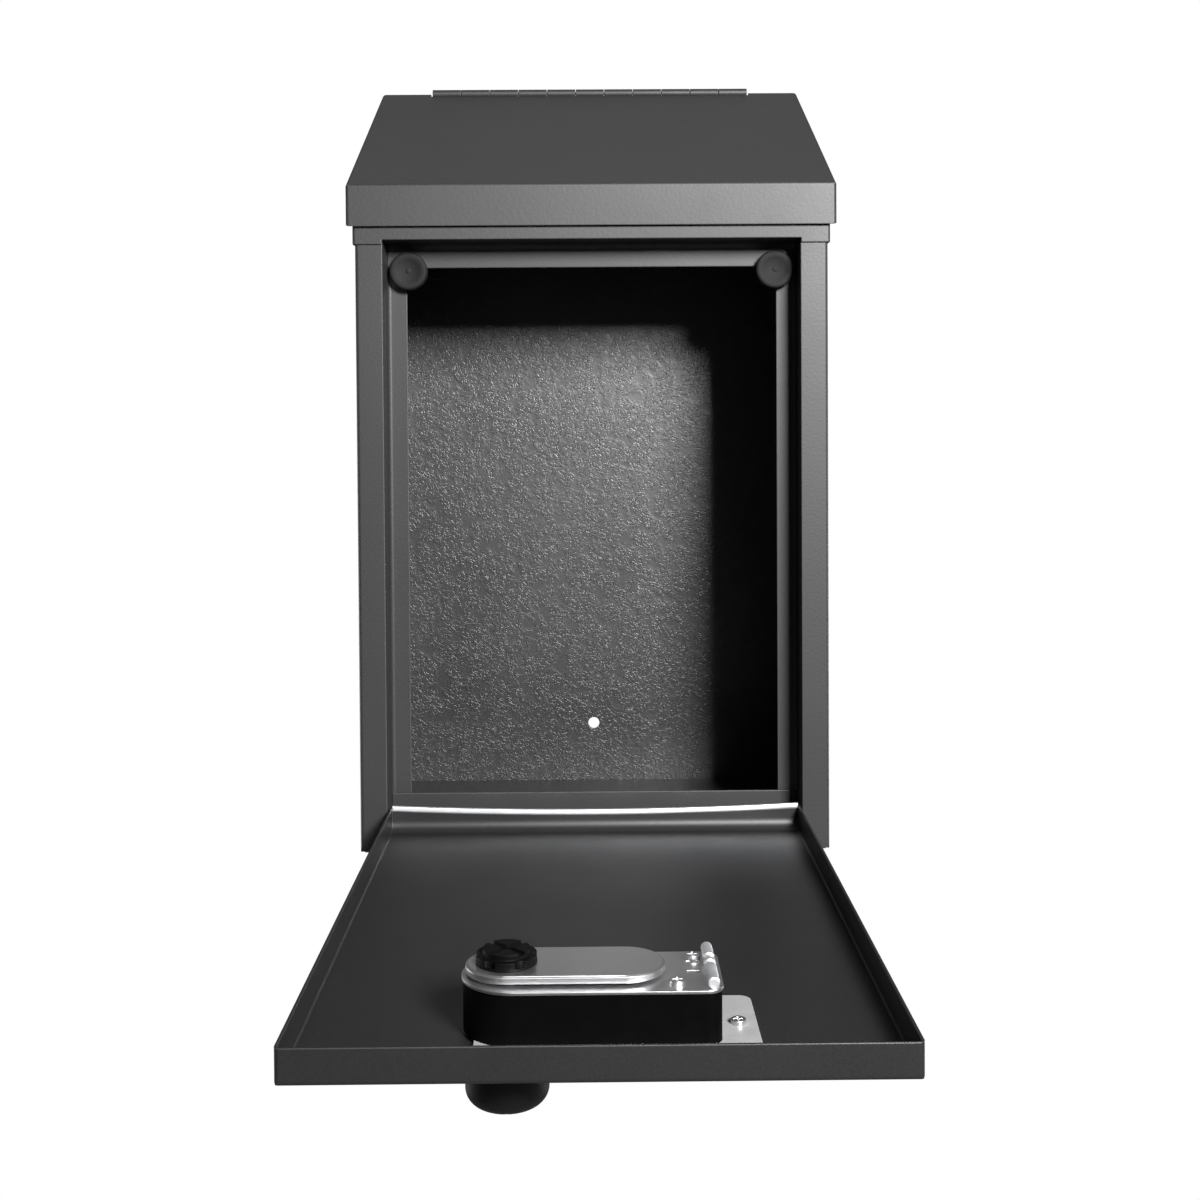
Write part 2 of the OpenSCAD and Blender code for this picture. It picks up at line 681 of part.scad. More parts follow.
// Stadium-shaped cam with a slightly raised face
module cam_plate() on_wall() on_lock() color(zinc) difference() {
    r = cam_w / 2;
    for (layer = [[0, 0, cam_t - 0.5], [0.8, cam_t - 0.6, 0.6]])
        translate([0, 0, cam_z + layer[1]]) linear_extrude(layer[2]) {
            circle(r - layer[0]);
            translate([cam_reach - r, 0]) circle(r - layer[0]);
            translate([0, layer[0] - r]) square([cam_reach - r, cam_w - 2 * layer[0]]);
        }
    translate([-spindle_square / 2, -spindle_square / 2, cam_z - 1])
        cube([spindle_square, spindle_square, cam_t + 2]);
}

// Black turret nut: scalloped base, slotted crown
module cam_nut() on_wall() on_lock() color(black) translate([0, 0, cam_z + cam_t]) difference() {
    union() {
        cylinder(h = nut_h, d = 24);
        translate([0, 0, nut_h - 0.1]) cylinder(h = crown_h + 0.1, d = 18.5);
    }
    translate([0, 0, -1]) cylinder(h = thread_l + 1.2, r = thread_r + fit_gap);
    for (a = [0 : 60 : 300]) rotate([0, 0, a]) translate([13.6, 0, 1]) cylinder(h = nut_h, r = 3);
    for (a = [45, 135]) rotate([0, 0, a])
        translate([-12, -1.5, nut_h + crown_h / 2]) cube([24, 3, crown_h]);
}

back_panel();
left_side_panel();
right_side_panel();
bottom_panel();
header_rail();
front_threshold();
left_door_jamb();
right_door_jamb();
top_door_jamb();
door_bumpers();
baffle_plate();
header_seal();
lid_hinge_body_leaf();
lid_hinge_pin();
door_hinge_body_leaf();
door_hinge_pin();
lid_shell();
lid_hinge_lid_leaf();
door_pan();
door_hinge_door_leaf();
lock_base_plate();
lock_body();
lock_back_plate();
lock_screws();
change_pin();
keypad_housing();
spindle_bush();
knob();
spindle();
cam_washer();
cam_plate();
cam_nut();
key_1();
key_2();
key_3();
key_4();
key_5();
key_6();
key_7();
key_8();
key_9();
key_0();
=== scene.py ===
# %% [markdown]
# # A parcel drop box in folded sheet steel
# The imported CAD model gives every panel, hinge leaf and lock part its true size and place. This lesson adds
# what a buyer sees first: soft bends and edges, powder coat, rubber, plating, numbered keys, and the light.
# The box hangs on a wall with its door dropped open, as it is loaded here.

# %% Load the frame
import json
import math

import bmesh
import bpy
import numpy as np
from mathutils import Matrix, Vector


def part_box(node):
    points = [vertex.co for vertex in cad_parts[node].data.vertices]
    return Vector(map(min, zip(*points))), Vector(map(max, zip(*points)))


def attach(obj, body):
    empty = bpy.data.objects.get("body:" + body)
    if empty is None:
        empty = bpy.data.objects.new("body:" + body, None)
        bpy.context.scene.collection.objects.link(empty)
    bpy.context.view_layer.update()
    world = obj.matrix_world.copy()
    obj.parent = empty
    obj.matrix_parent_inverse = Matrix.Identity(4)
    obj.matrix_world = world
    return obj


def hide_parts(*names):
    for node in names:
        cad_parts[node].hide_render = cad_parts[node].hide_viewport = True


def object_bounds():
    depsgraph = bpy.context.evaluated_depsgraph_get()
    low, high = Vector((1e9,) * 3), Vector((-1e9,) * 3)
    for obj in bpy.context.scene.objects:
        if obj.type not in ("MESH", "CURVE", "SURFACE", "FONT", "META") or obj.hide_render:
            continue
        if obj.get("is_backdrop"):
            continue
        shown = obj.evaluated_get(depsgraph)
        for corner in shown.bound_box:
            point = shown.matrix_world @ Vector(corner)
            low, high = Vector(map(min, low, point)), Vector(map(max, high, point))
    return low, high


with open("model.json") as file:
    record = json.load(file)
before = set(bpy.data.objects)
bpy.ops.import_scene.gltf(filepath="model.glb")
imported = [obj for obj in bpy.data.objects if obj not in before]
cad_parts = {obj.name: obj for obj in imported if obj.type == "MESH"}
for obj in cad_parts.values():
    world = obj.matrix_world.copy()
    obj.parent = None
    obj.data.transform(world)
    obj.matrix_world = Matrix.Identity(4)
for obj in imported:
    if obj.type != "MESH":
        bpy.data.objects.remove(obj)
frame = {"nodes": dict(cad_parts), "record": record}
cad_low, cad_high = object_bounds()
nodes = frame["nodes"]
record = frame["record"]
scene = bpy.context.scene
MM = 0.001
print("CAD box in mm:", [round(v / MM) for v in (*cad_low, *cad_high)])

# %% [markdown]
# **Colours and nodes.** Blender works in linear light, and paint charts give colours as sRGB hex, so one
# function turns one into the other. One more adds a shader node with its settings and links, so that a
# material reads as a list of nodes from its patterns down to its shader. Pattern sizes are thought of in
# millimetres on the part, and a third function turns them into a noise scale.


# %% Colours and shader nodes
def linear(hex_colour):
    """sRGB to linear: c / 12.92 below 0.04045, else ((c + 0.055) / 1.055) to the power 2.4."""
    c = np.array([int(hex_colour[i : i + 2], 16) for i in (1, 3, 5)]) / 255
    c = np.where(c <= 0.04045, c / 12.92, ((c + 0.055) / 1.055) ** 2.4)
    return (*map(float, c), 1.0)


def add(tree, kind, inputs=None, **settings):
    """Adds a node, sets its properties, and gives its sockets their values or links."""
    node = tree.nodes.new("ShaderNode" + kind)
    for key, value in settings.items():
        setattr(node, key, value)
    for key, value in (inputs or {}).items():
        if isinstance(value, bpy.types.NodeSocket):
            tree.links.new(value, node.inputs[key])
        else:
            node.inputs[key].default_value = value
    return node


def begin(name, constants=None):
    """A new material: its node tree, its main shader, and Object coordinates, which are in metres."""
    material = bpy.data.materials.new(name)
    material.use_nodes = True
    tree = material.node_tree
    tree.nodes.clear()
    shader = add(tree, "BsdfPrincipled", constants)
    add(tree, "OutputMaterial", {"Surface": shader.outputs["BSDF"]})
    return material, tree, shader, add(tree, "TexCoord").outputs["Object"]


def per_metre(width_mm):
    """Noise scale whose features are width_mm wide."""
    return 1 / (width_mm * MM)


# A Mix node keeps its colour sockets behind those for numbers and vectors
COLOUR_A, COLOUR_B, COLOUR_OUT = 6, 7, 2
print("mid grey #808080 is", round(linear("#808080")[0], 3), "in linear light")

# %% [markdown]
# **Formed edges.** A CAD solid has knife edges. A real bend, moulding or blanked plate never has, and the
# thin highlight along an edge is what makes metal look solid. Rounding each edge in the CAD would make it
# slow and hard to change, so it is done here. Each part's solid is copied, its loose triangles are merged
# and joined into flat faces, and a Bevel modifier turns every edge sharper than 30 degrees into a small
# arc. The facets of a curve meet at less than that, so they stay and are smooth-shaded, with normals
# weighted by area, which keeps a flat face flat up to the start of its bend. The copy stands in for the
# CAD part on the same body, and lies inside it, as rounding only takes away.

# %% Pieces that stand in for parts
WELD = 0.002 * MM
FLAT_ANGLE = math.radians(1)
SHARP_ANGLE = math.radians(30)
body_of = {n: body for body, names in record["behaviour"]["bodies"].items() for n in names}
slot_of = {part["node"]: part["material_slot"] for part in record["subparts"]}
shown = dict(nodes)


def show(name, mesh, body, slot, *replaced):
    """Puts a mesh in the scene as a piece that rides on a body and stands for some CAD nodes."""
    piece = bpy.data.objects.new(name, mesh)
    scene.collection.objects.link(piece)
    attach(piece, body)
    if replaced:
        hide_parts(*replaced)
    return piece


def weld(source, target, *steps):
    """Writes source to target with points closer than WELD merged, then runs the steps that are named:
    "flatten" joins faces that meet within FLAT_ANGLE, "outward" turns faces out. Returns its open edges."""
    bm = bmesh.new()
    bm.from_mesh(source)
    bmesh.ops.remove_doubles(bm, verts=bm.verts, dist=WELD)
    if "flatten" in steps:
        bmesh.ops.dissolve_limit(bm, angle_limit=FLAT_ANGLE, verts=bm.verts, edges=bm.edges)
    if "outward" in steps:
        bmesh.ops.recalc_face_normals(bm, faces=bm.faces)
    open_edges = sum(edge.is_boundary for edge in bm.edges)
    bm.to_mesh(target)
    bm.free()
    return open_edges


# %% [markdown]
# The radius of each edge follows how the part is made. Folded and blanked sheet has about 0.3 to 0.4 mm
# where the powder lies over it, mouldings 0.5 to 0.7 mm, and small turned or stamped parts 0.1 to 0.3 mm.


# %% Formed copies of the parts
def formed(node, radius_mm):
    """Copy of a CAD node with welded points, whole flat faces, and edges rounded to radius_mm."""
    mesh = bpy.data.meshes.new(node + "_formed")
    weld(nodes[node].data, mesh, "flatten")
    mesh.shade_smooth()
    piece = show(node + "_formed", mesh, body_of[node], slot_of[node], node)
    rounding = piece.modifiers.new("rounding", "BEVEL")
    rounding.width = radius_mm * MM
    rounding.segments = 2
    rounding.limit_method = "ANGLE"
    rounding.angle_limit = SHARP_ANGLE
    piece.modifiers.new("flat faces stay flat", "WEIGHTED_NORMAL")
    return piece


EDGE_MM = {
    "lid_shell": 0.4, "door_pan": 0.4, "left_side_panel": 0.4, "right_side_panel": 0.4,
    "header_rail": 0.4, "front_threshold": 0.4, "left_door_jamb": 0.4, "right_door_jamb": 0.4,
    "top_door_jamb": 0.4, "back_panel": 0.3, "bottom_panel": 0.3, "baffle_plate": 0.4,
    "header_seal": 0.5, "lock_base_plate": 0.5, "lock_body": 0.6, "lock_back_plate": 0.35,
    "keypad_housing": 0.7, "change_pin": 0.3, "lock_screws": 0.12, "cam_plate": 0.3,
    "cam_washer": 0.2, "cam_nut": 0.3, "knob": 0.4,
}
keys = [name for name in nodes if name.startswith("key_")]
for key in keys:
    EDGE_MM[key] = 0.15
for name, radius_mm in EDGE_MM.items():
    shown[name] = formed(name, radius_mm)
print(len(EDGE_MM), "formed copies,", len(keys), "of them keys")

# %% [markdown]
# **Rubber bumpers.** Two pucks keep the shut door off the frame. Each is moulded, so it could be a cylinder
# with a bevel, but the mould leaves more than that: a shallow dish, the stub where the rubber was let in, a
# rounded rim, and a slight draft, which lets the puck out of the mould. So each is turned as on a lathe: a
# half section, spun about its axis.


# %% Turned surfaces
def turned(section, centres, steps=72):
    """Spins (radius, depth) points about the Y axis at each centre: x = cx + r cos t, z = cz + r sin t,
    y = cy + depth. The first and last points lie on the axis, so each pole is one vertex."""
    radius, depth = np.array(section, float).T
    t = np.linspace(0, 2 * np.pi, steps, endpoint=False)
    r = radius[1:-1, None]
    y = np.repeat(depth[1:-1, None], steps, 1)
    rings = np.stack([r * np.cos(t), y, r * np.sin(t)], -1).reshape(-1, 3)
    poles = np.array([[0, depth[0], 0], [0, depth[-1], 0]])
    puck = np.concatenate([poles, rings])
    points = np.concatenate([puck + np.array(c) for c in centres])

    here = np.arange(steps)
    ahead = (here + 1) % steps
    last = 2 + steps * (len(section) - 3)
    row = np.arange(2, last, steps)[:, None]
    walls = np.stack([row + here, row + ahead, row + steps + ahead, row + steps + here], -1)
    front = np.stack([np.zeros_like(here), 2 + ahead, 2 + here], -1)
    back = np.stack([np.ones_like(here), last + here, last + ahead], -1)
    shift = (len(puck) * np.arange(len(centres)))[:, None, None]
    caps = (np.concatenate([front, back]) + shift).reshape(-1, 3)
    walls = (walls.reshape(-1, 4) + shift).reshape(-1, 4)
    return points, caps.tolist() + walls.tolist()


DRAFT = 0.25 * MM
RIM = 1.6 * MM
STUB_AND_DISH_MM = [(0, 0.9), (1.3, 0.9), (1.5, 1.1), (1.7, 1.1), (6.8, 0.35), (7.4, 0)]
low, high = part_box("door_bumpers")
puck_r = (high.z - low.z) / 2
puck_t = high.y - low.y
section = (
    [(r * MM, depth * MM) for r, depth in STUB_AND_DISH_MM]
    + [(puck_r - RIM + RIM * math.sin(a), RIM - RIM * math.cos(a)) for a in np.linspace(0, np.pi / 2, 7)]
    + [(puck_r - DRAFT, puck_t), (0, puck_t)]
)
middle_z = (low.z + high.z) / 2
points, faces = turned(section, [(x, low.y, middle_z) for x in (low.x + puck_r, high.x - puck_r)])
mesh = bpy.data.meshes.new("bumper_pads")
mesh.from_pydata(points.tolist(), [], faces)
open_edges = weld(mesh, mesh, "outward")
mesh.shade_smooth()
mesh.set_sharp_from_angle(angle=math.radians(50))
shown["door_bumpers"] = show("bumper_pads", mesh, "box", "rubber", "door_bumpers")
print("bumpers:", round(2 * puck_r / MM, 1), "mm across,", len(faces), "faces,", open_edges, "open edges")

# %% [markdown]
# **Numbered keys.** Each key has a dished face, cut by a ball of 20 mm radius, with its number in raised
# black enamel. The number could be a pattern in the material, but a solid one keeps its crisp edge in every
# export. It starts as a text curve, becomes a mesh, and is then laid on the dish. The door is loaded open,
# with its outer face down, so a number's top points to -Y and its face to -Z.

# %% Numbers on the keys
DISH_R = 20 * MM
DISH_DEPTH = 0.4 * MM
NUMBER_MM = 4.6


def number_mesh(digit):
    """Raised digit as a mesh, flat on XY, with its seams closed and its faces turned outward."""
    text = bpy.data.curves.new("number_" + digit, "FONT")
    text.body = digit
    text.size = NUMBER_MM * MM
    text.align_x = "CENTER"
    text.align_y = "CENTER"
    text.extrude = 0.12 * MM
    text.bevel_depth = 0.04 * MM
    text.resolution_u = 6
    holder = bpy.data.objects.new("text", text)
    mesh = bpy.data.meshes.new_from_object(holder)
    bpy.data.objects.remove(holder)
    return mesh, weld(mesh, mesh, "outward")


def lay_on_dish(mesh, low, high):
    """Centres (u, v, w) on a key: x = cx + u, y = cy - v, z = dish - w, with the dish's height
    z0 + depth - R + the root of (R squared - u squared - v squared)."""
    flat = np.zeros(3 * len(mesh.vertices))
    mesh.vertices.foreach_get("co", flat)
    u, v, w = flat.reshape(-1, 3).T
    u, v = u - (u.min() + u.max()) / 2, v - (v.min() + v.max()) / 2
    dish = low.z + DISH_DEPTH - DISH_R + np.sqrt(DISH_R**2 - u**2 - v**2)
    place = np.stack([(low.x + high.x) / 2 + u, (low.y + high.y) / 2 - v, dish - w], -1)
    mesh.vertices.foreach_set("co", place.astype(np.float32).ravel())
    mesh.update()


numbers = []
open_edges = 0
for digit in "1234567890":
    mesh, gaps = number_mesh(digit)
    open_edges += gaps
    lay_on_dish(mesh, *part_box("key_" + digit))
    numbers.append(show("number_" + digit, mesh, f"key_{digit}_body", "black_nut"))
print(len(numbers), "numbers,", NUMBER_MM, "mm type,", open_edges, "open edges")

# %% [markdown]
# **Powder coat.** The box is zinc-dipped steel under a baked polyester powder. The powder melts and flows
# but never levels quite flat. Where the coat is thick, inside the box, short curved wrinkles stay in it, a
# few millimetres long and about 1 mm wide. Real displacement would need millions of faces for a depth of a
# tenth of a millimetre, so they are bump. They are drawn where a noise passes its middle value, which gives
# winding lines, and a wider noise lets them fade in and out. Outside there is only the orange peel, 1.6 mm
# from crest to crest. Fine specks break up the grey; real ones are about 0.2 mm and are drawn coarser, at
# 0.8 mm, to show. A Bevel node widens the rounding of the edges for the light only, and where it turns
# the surface the coat is thinner and paler.


# %% Powder coat
CREST_MM = 1.6  # from one crest of the peel to the next
WINDING_MM = 2.5  # the noise that the wrinkles wind through
PATCH_MM = 9  # where they fade in and out
SPECK_MM = 0.8
CLOUD_MM = 70  # slow drift of the gloss
COAT_EDGE_MM = 0.8


def powder_coat(name, dark, pale, worn, rough, gloss, peel_mm, wrinkle_mm=0.0):
    """Coat of two greys with a peel and winding wrinkles of these depths, and thin, worn edges."""
    material, tree, shader, at = begin(name, {"Specular IOR Level": gloss})
    peel = add(tree, "TexNoise", {"Vector": at, "Scale": per_metre(CREST_MM), "Detail": 2.0})
    winding = add(
        tree, "TexNoise",
        {"Vector": at, "Scale": per_metre(WINDING_MM), "Detail": 1.0, "Distortion": 0.4},
    )
    off_middle = add(tree, "Math", {0: winding.outputs["Fac"], 1: 0.5}, operation="SUBTRACT")
    distance = add(tree, "Math", {0: off_middle.outputs[0]}, operation="ABSOLUTE")
    ridge = add(
        tree, "MapRange", {"Value": distance.outputs[0], "From Max": 0.07},
        interpolation_type="SMOOTHSTEP",
    )
    patch = add(tree, "TexNoise", {"Vector": at, "Scale": per_metre(PATCH_MM), "Detail": 2.0})
    there = add(tree, "MapRange", {"Value": patch.outputs["Fac"], "From Min": 0.34, "From Max": 0.5})
    wrinkle = add(tree, "Math", {0: ridge.outputs[0], 1: there.outputs[0]}, operation="MULTIPLY")
    soft = add(tree, "Bevel", {"Radius": COAT_EDGE_MM * MM}, samples=6)
    fine = add(
        tree, "Bump",
        {"Height": peel.outputs["Fac"], "Distance": peel_mm * MM, "Normal": soft.outputs[0]},
    )
    coarse = add(
        tree, "Bump",
        {"Height": wrinkle.outputs[0], "Distance": wrinkle_mm * MM, "Normal": fine.outputs["Normal"]},
    )
    grit = add(tree, "TexNoise", {"Vector": at, "Scale": per_metre(SPECK_MM), "Detail": 1.0})
    speck = add(tree, "MapRange", {"Value": grit.outputs["Fac"], "From Min": 0.32, "From Max": 0.68})
    grey = add(
        tree, "Mix", {0: speck.outputs[0], COLOUR_A: linear(dark), COLOUR_B: linear(pale)},
        data_type="RGBA",
    )
    normal = add(tree, "NewGeometry").outputs["Normal"]
    facing = add(tree, "VectorMath", {0: soft.outputs[0], 1: normal}, operation="DOT_PRODUCT")
    edge = add(
        tree, "MapRange",
        {"Value": facing.outputs["Value"], "From Min": 0.99, "From Max": 0.8, "To Max": 0.8},
    )
    shade = add(
        tree, "Mix",
        {0: edge.outputs[0], COLOUR_A: grey.outputs[COLOUR_OUT], COLOUR_B: linear(worn)},
        data_type="RGBA",
    )
    cloud = add(tree, "TexNoise", {"Vector": at, "Scale": per_metre(CLOUD_MM), "Detail": 3.0})
    drift = add(
        tree, "MapRange",
        {"Value": cloud.outputs["Fac"], "From Min": 0.3, "From Max": 0.7,
         "To Min": rough - 0.03, "To Max": rough + 0.03},
    )
    tree.links.new(shade.outputs[COLOUR_OUT], shader.inputs["Base Color"])
    tree.links.new(drift.outputs[0], shader.inputs["Roughness"])
    tree.links.new(coarse.outputs["Normal"], shader.inputs["Normal"])
    return material


def finish_with(material, *names):
    """Puts one material on the pieces that show these CAD nodes."""
    for name in names:
        shown[name].data.materials.clear()
        shown[name].data.materials.append(material)
    print(material.name, "on", len(names), "pieces")


# The inside panels and the door wear the same black powder as the outside, in darker greys: painted shade for
# the weaker light inside the box and on the open door.
finish_with(
    powder_coat(
        "wrinkled_powder_coat_painted_shade", "#161617", "#1e1e1f", "#363637",
        rough=0.42, gloss=0.9, peel_mm=0.04, wrinkle_mm=0.09,
    ),
    "back_panel", "bottom_panel", "baffle_plate",
)
finish_with(
    powder_coat(
        "satin_powder_coat", "#232324", "#2a2a2b", "#5a5a5d",
        rough=0.5, gloss=0.48, peel_mm=0.05,
    ),
    "left_side_panel", "right_side_panel", "header_rail", "front_threshold", "left_door_jamb",
    "right_door_jamb", "top_door_jamb", "lid_shell", "lid_hinge_body_leaf", "lid_hinge_pin",
    "lid_hinge_lid_leaf",
)
# Darker greys than the outer coat on the same powder: painted shade for the dimmer light on the open door.
finish_with(
    powder_coat(
        "door_powder_coat_painted_shade", "#161617", "#1a1a1b", "#363637",
        rough=0.44, gloss=0.5, peel_mm=0.04,
    ),
    "door_pan",
)

# %% [markdown]
# **Rubber.** The bumpers and the trim on the header are moulded EPDM: black, matt, with a fine grain and a
# faint paler bloom where the wax has come to the surface. A flat black would look like a hole. The bloom's
# 12 mm clouds and the grain, drawn at 0.8 mm and so coarser than it is, give the eye something to rest on.


# %% Rubber
BLOOM_MM = 12
RUBBER_GRAIN_MM = 0.8


def moulded_rubber():
    """Matt black with a fine grain and a soft bloom."""
    constants = {"Roughness": 0.75, "Specular IOR Level": 0.3}
    material, tree, shader, at = begin("moulded_epdm_rubber", constants)
    bloom = add(tree, "TexNoise", {"Vector": at, "Scale": per_metre(BLOOM_MM), "Detail": 3.0})
    shade = add(
        tree, "Mix",
        {0: bloom.outputs["Fac"], COLOUR_A: linear("#090909"), COLOUR_B: linear("#131313")},
        data_type="RGBA",
    )
    grain = add(tree, "TexNoise", {"Vector": at, "Scale": per_metre(RUBBER_GRAIN_MM), "Detail": 2.0})
    bump = add(tree, "Bump", {"Height": grain.outputs["Fac"], "Distance": 0.05 * MM})
    tree.links.new(shade.outputs[COLOUR_OUT], shader.inputs["Base Color"])
    tree.links.new(bump.outputs["Normal"], shader.inputs["Normal"])
    return material


finish_with(moulded_rubber(), "door_bumpers", "header_seal")

# %% [markdown]
# **Plated and turned metals.** The cam, back plate, screws and keys are steel with satin nickel plate, the
# door hinge is bright zinc, and the bush is turned brass. A satin plate shows fine lines from the polishing
# belt, which a noise stretched along the part gives; real lines are under 0.1 mm apart and are drawn at 0.5
# to 1 mm to show. Zinc is duller and brighter at once: it scatters the light into a broad white sheen, so
# its roughness is high and its tint nearly white. The small Bevel radius differs too: a knuckle is rolled
# from sheet, so its ends are rounder than a stamped plate's.


# %% Metals
SMEAR_MM = 9  # patches where the plate is duller from handling
LINE_DEPTH = 0.006 * MM


def bare_metal(name, tint, rough, edge_mm, line_mm, stretch):
    """Metal with lines line_mm apart, drawn out along one axis, and edges rounded to edge_mm."""
    constants = {"Base Color": linear(tint), "Metallic": 1.0}
    material, tree, shader, at = begin(name, constants)
    along = add(tree, "Mapping", {"Vector": at, "Scale": stretch})
    lines = add(
        tree, "TexNoise",
        {"Vector": along.outputs[0], "Scale": per_metre(line_mm), "Detail": 2.0},
    )
    smear = add(tree, "TexNoise", {"Vector": at, "Scale": per_metre(SMEAR_MM), "Detail": 2.0})
    patchy = add(
        tree, "MapRange",
        {"Value": smear.outputs["Fac"], "To Min": rough - 0.06, "To Max": rough + 0.08},
    )
    soft = add(tree, "Bevel", {"Radius": edge_mm * MM}, samples=6)
    bump = add(
        tree, "Bump",
        {"Height": lines.outputs["Fac"], "Distance": LINE_DEPTH, "Normal": soft.outputs[0]},
    )
    tree.links.new(patchy.outputs[0], shader.inputs["Roughness"])
    tree.links.new(bump.outputs["Normal"], shader.inputs["Normal"])
    return material


finish_with(
    bare_metal(
        "satin_nickel_plate", "#d2d2d3",
        rough=0.36, edge_mm=0.45, line_mm=0.8, stretch=(0.08, 1, 1),
    ),
    "cam_plate", "lock_back_plate", "spindle", "cam_washer", "lock_screws", *keys,
)
finish_with(
    bare_metal(
        "bright_zinc_plate", "#f2f3f5",
        rough=0.5, edge_mm=1.2, line_mm=1.0, stretch=(0.05, 1, 1),
    ),
    "door_hinge_door_leaf", "door_hinge_body_leaf", "door_hinge_pin", "change_pin",
)
finish_with(
    bare_metal(
        "turned_brass", "#c9a95c",
        rough=0.3, edge_mm=0.3, line_mm=0.5, stretch=(1, 1, 0.2),
    ),
    "spindle_bush",
)

# %% [markdown]
# **Moulded plastics.** The lock's case, keypad and knob are black nylon from a spark-eroded mould, which
# leaves a fine even grain and a deep matt black. Voronoi cells give that pitted grain, drawn at 0.7 mm where
# a real one is about 0.2 mm. The plate under the case is undyed nylon, grey and smoother, with the slow
# 2.5 mm ripple of a polished mould. The numbers are baked enamel, the glossiest black of all.


# %% Moulded plastics
FLOW_MM = 8  # streaks from the melt's flow
MOULD_EDGE_MM = 0.6


def moulded_plastic(name, dark, pale, rough, gloss, grain_mm, depth_mm):
    """Two near shades, and a grain of small cells."""
    constants = {"Roughness": rough, "Specular IOR Level": gloss}
    material, tree, shader, at = begin(name, constants)
    cells = add(tree, "TexVoronoi", {"Vector": at, "Scale": per_metre(grain_mm)})
    flow = add(tree, "TexNoise", {"Vector": at, "Scale": per_metre(FLOW_MM), "Detail": 2.0})
    shade = add(
        tree, "Mix",
        {0: flow.outputs["Fac"], COLOUR_A: linear(dark), COLOUR_B: linear(pale)},
        data_type="RGBA",
    )
    soft = add(tree, "Bevel", {"Radius": MOULD_EDGE_MM * MM}, samples=6)
    bump = add(
        tree, "Bump",
        {"Height": cells.outputs["Distance"], "Distance": depth_mm * MM, "Normal": soft.outputs[0]},
    )
    tree.links.new(shade.outputs[COLOUR_OUT], shader.inputs["Base Color"])
    tree.links.new(bump.outputs["Normal"], shader.inputs["Normal"])
    return material


SPARK_GRAIN = {"grain_mm": 0.7, "depth_mm": 0.02}
finish_with(
    moulded_plastic("black_nylon_case", "#030303", "#060607", rough=0.5, gloss=0.03, **SPARK_GRAIN),
    "lock_body",
)
finish_with(
    moulded_plastic("black_nylon_keypad", "#0b0b0c", "#101011", rough=0.45, gloss=0.28, **SPARK_GRAIN),
    "keypad_housing", "knob",
)
finish_with(
    moulded_plastic("black_nylon_nut", "#040405", "#080809", rough=0.5, gloss=0.08, **SPARK_GRAIN),
    "cam_nut",
)
finish_with(
    moulded_plastic(
        "undyed_grey_nylon", "#828282", "#949494",
        rough=0.3, gloss=0.5, grain_mm=2.5, depth_mm=0.03,
    ),
    "lock_base_plate",
)
enamel = moulded_plastic(
    "black_enamel", "#060606", "#0a0a0a",
    rough=0.25, gloss=0.5, grain_mm=0.5, depth_mm=0.005,
)
for number in numbers:
    number.data.materials.append(enamel)

# %% [markdown]
# **Camera.** A 45 mm lens stands 0.86 m in front of the box, a little over half its height up. A camera that
# tilts down makes uprights lean together, so it stays nearly level, and its film is shifted down instead.
# Its small turns about all three axes are those of a tripod set up by hand.

# %% Camera
front_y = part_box("left_side_panel")[0].y
foot_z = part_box("left_side_panel")[0].z
camera = bpy.data.objects.new("camera", bpy.data.cameras.new("camera"))
scene.collection.objects.link(camera)
camera.data.lens = 44.94
camera.data.shift_y = -0.135
yaw, pitch, roll = (math.radians(a) for a in (-0.474, -1.26, 0.365))
turn = Matrix.Rotation(yaw, 3, "Z") @ Matrix.Rotation(pitch, 3, "X") @ Matrix.Rotation(roll, 3, "Y")
right, ahead, up = turn.col
stand = Vector((-0.003, front_y - 0.856, foot_z + 0.256))
camera.matrix_world = Matrix.Translation(stand) @ Matrix((right, up, -ahead)).transposed().to_4x4()
scene.camera = camera
print("camera at", [round(v, 3) for v in stand])

# %% [markdown]
# **Light.** One softbox, up on the right and a good metre in front, gives the sheen on the lid's lip and
# throws the frame's soft shadow on the back wall. A wide dim one above and behind lifts the roof. Two more
# stand low at the back, under the level of the open door, so they show the back and sides and leave the
# front as it is. All four hide from the camera, so that no view has a lamp in it.


# %% Lights
def softbox(name, offset, size, watts):
    """A square area light that stands off from the opening's middle, faces it, and isn't itself seen."""
    lamp = bpy.data.lights.new(name, "AREA")
    lamp.shape, lamp.size, lamp.energy = "SQUARE", size, watts
    light = bpy.data.objects.new(name, lamp)
    light.visible_camera = False
    scene.collection.objects.link(light)
    place = opening + Vector(offset)
    aim = (opening - place).to_track_quat("-Z", "Y").to_matrix().to_4x4()
    light.matrix_world = Matrix.Translation(place) @ aim


opening = Vector((0, front_y, foot_z + 0.25))
softbox("key_light", (0.54, -1.28, 0.53), 0.38, 66)
softbox("roof_light", (-0.1, 1.0, 1.2), 1.2, 1.2)
softbox("back_left_light", (-1.6, 0.8, -0.45), 0.8, 16)
softbox("back_right_light", (1.6, 0.8, -0.45), 0.8, 16)

# %% [markdown]
# **Floor and sky.** The floor is white paper. A lit white floor would throw its own light up under the door
# and into the box, so it glows only to the camera and is a dull grey to everything else. The sky does the
# same, so the two meet without a line. From below the paper is clear, which keeps the box's underside in
# view. Floor and sky are the stage, and no part of the box.

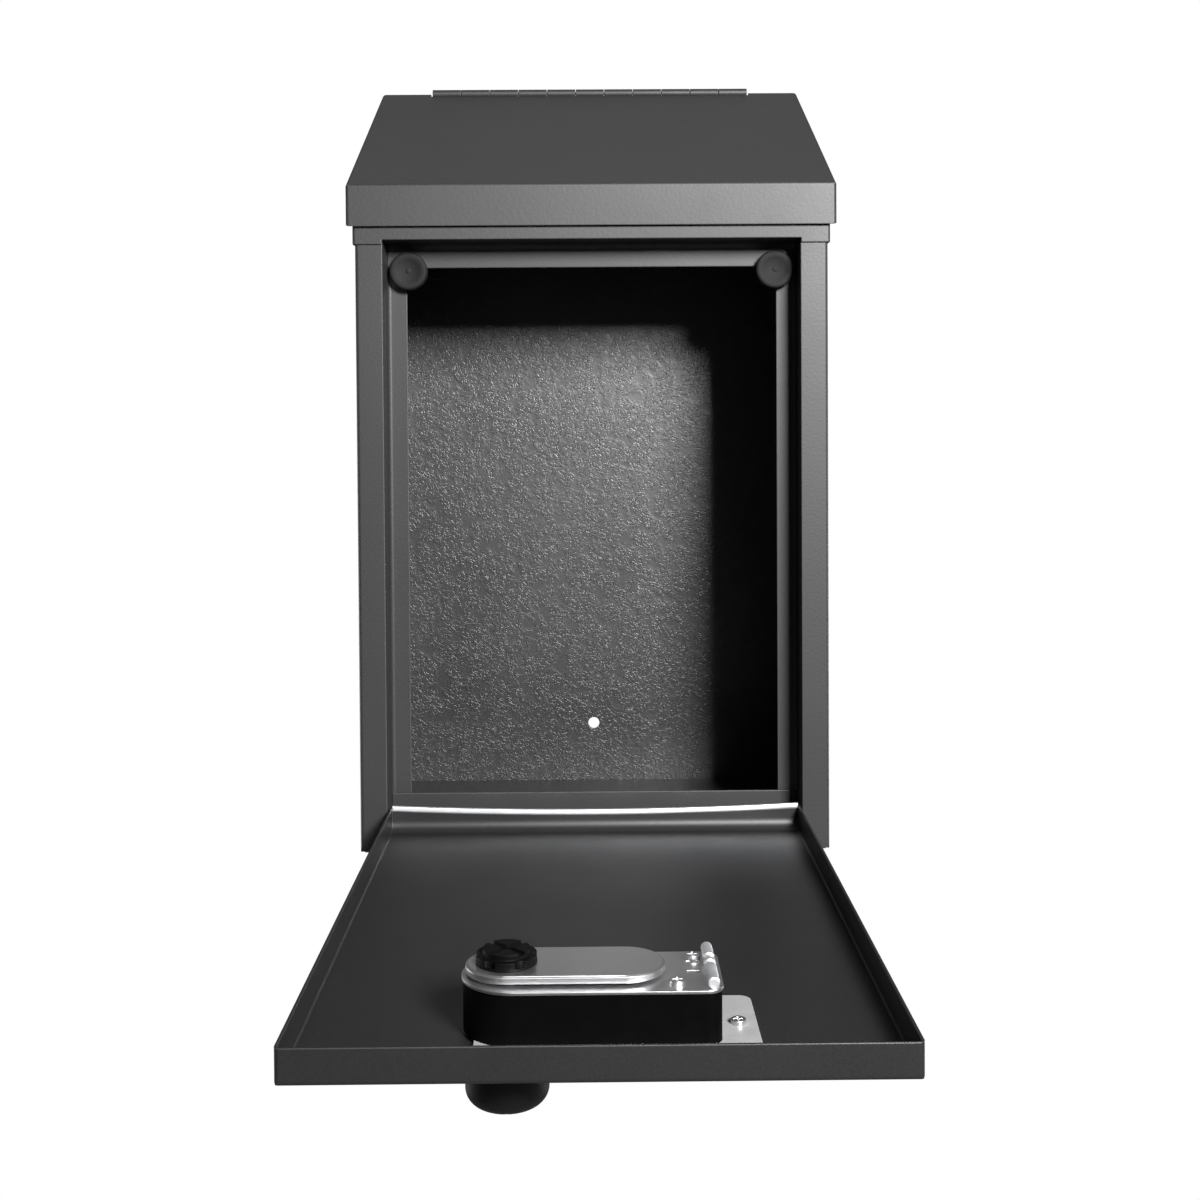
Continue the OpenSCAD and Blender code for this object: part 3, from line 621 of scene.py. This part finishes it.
# %% Floor and sky
HALF = 8.0
DROP = 0.45  # from the box down to the paper, in metres
WHITE = linear("#ffffff")
floor_z = foot_z - DROP
floor_mesh = bpy.data.meshes.new("floor")
corners = [(x * HALF, y * HALF, floor_z) for x, y in ((-1, -1), (1, -1), (1, 1), (-1, 1))]
floor_mesh.from_pydata(corners, [], [(0, 1, 2, 3)])
floor = bpy.data.objects.new("floor", floor_mesh)
scene.collection.objects.link(floor)
floor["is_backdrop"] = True

paper, tree, shader, _ = begin("white_paper", {"Base Color": linear("#6a6a6a"), "Roughness": 0.9})
to_camera = add(tree, "LightPath").outputs["Is Camera Ray"]
glow = add(tree, "Emission", {"Color": WHITE, "Strength": 1.0})
upper = add(tree, "MixShader", {0: to_camera, 1: shader.outputs["BSDF"], 2: glow.outputs[0]})
from_below = add(tree, "NewGeometry").outputs["Backfacing"]
clear = add(tree, "BsdfTransparent")
both = add(tree, "MixShader", {0: from_below, 1: upper.outputs[0], 2: clear.outputs[0]})
tree.links.new(both.outputs[0], tree.nodes["Material Output"].inputs["Surface"])
floor_mesh.materials.append(paper)

world = bpy.data.worlds.new("sky")
scene.world = world
world.use_nodes = True
tree = world.node_tree
tree.nodes.clear()
to_camera = add(tree, "LightPath").outputs["Is Camera Ray"]
dim = add(tree, "Background", {"Color": WHITE, "Strength": 0.07})
bright = add(tree, "Background", {"Color": WHITE, "Strength": 1.0})
sky = add(tree, "MixShader", {0: to_camera, 1: dim.outputs[0], 2: bright.outputs[0]})
add(tree, "OutputWorld", {"Surface": sky.outputs[0]})
scene.view_settings.view_transform = "Standard"
print("floor", round(DROP / MM), "mm under the box")

# %% [markdown]
# **Sizes.** Looks must not change the object's size, so its box is measured again and kept beside the CAD
# model's. The two should agree to a fraction of a millimetre.

# %% Sizes, and the end
shown_low, shown_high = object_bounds()
grown = [
    round((a - b) / MM, 2)
    for a, b in zip((*shown_low, *shown_high), (*cad_low, *cad_high), strict=True)
]
print("shown minus CAD box in mm:", grown)
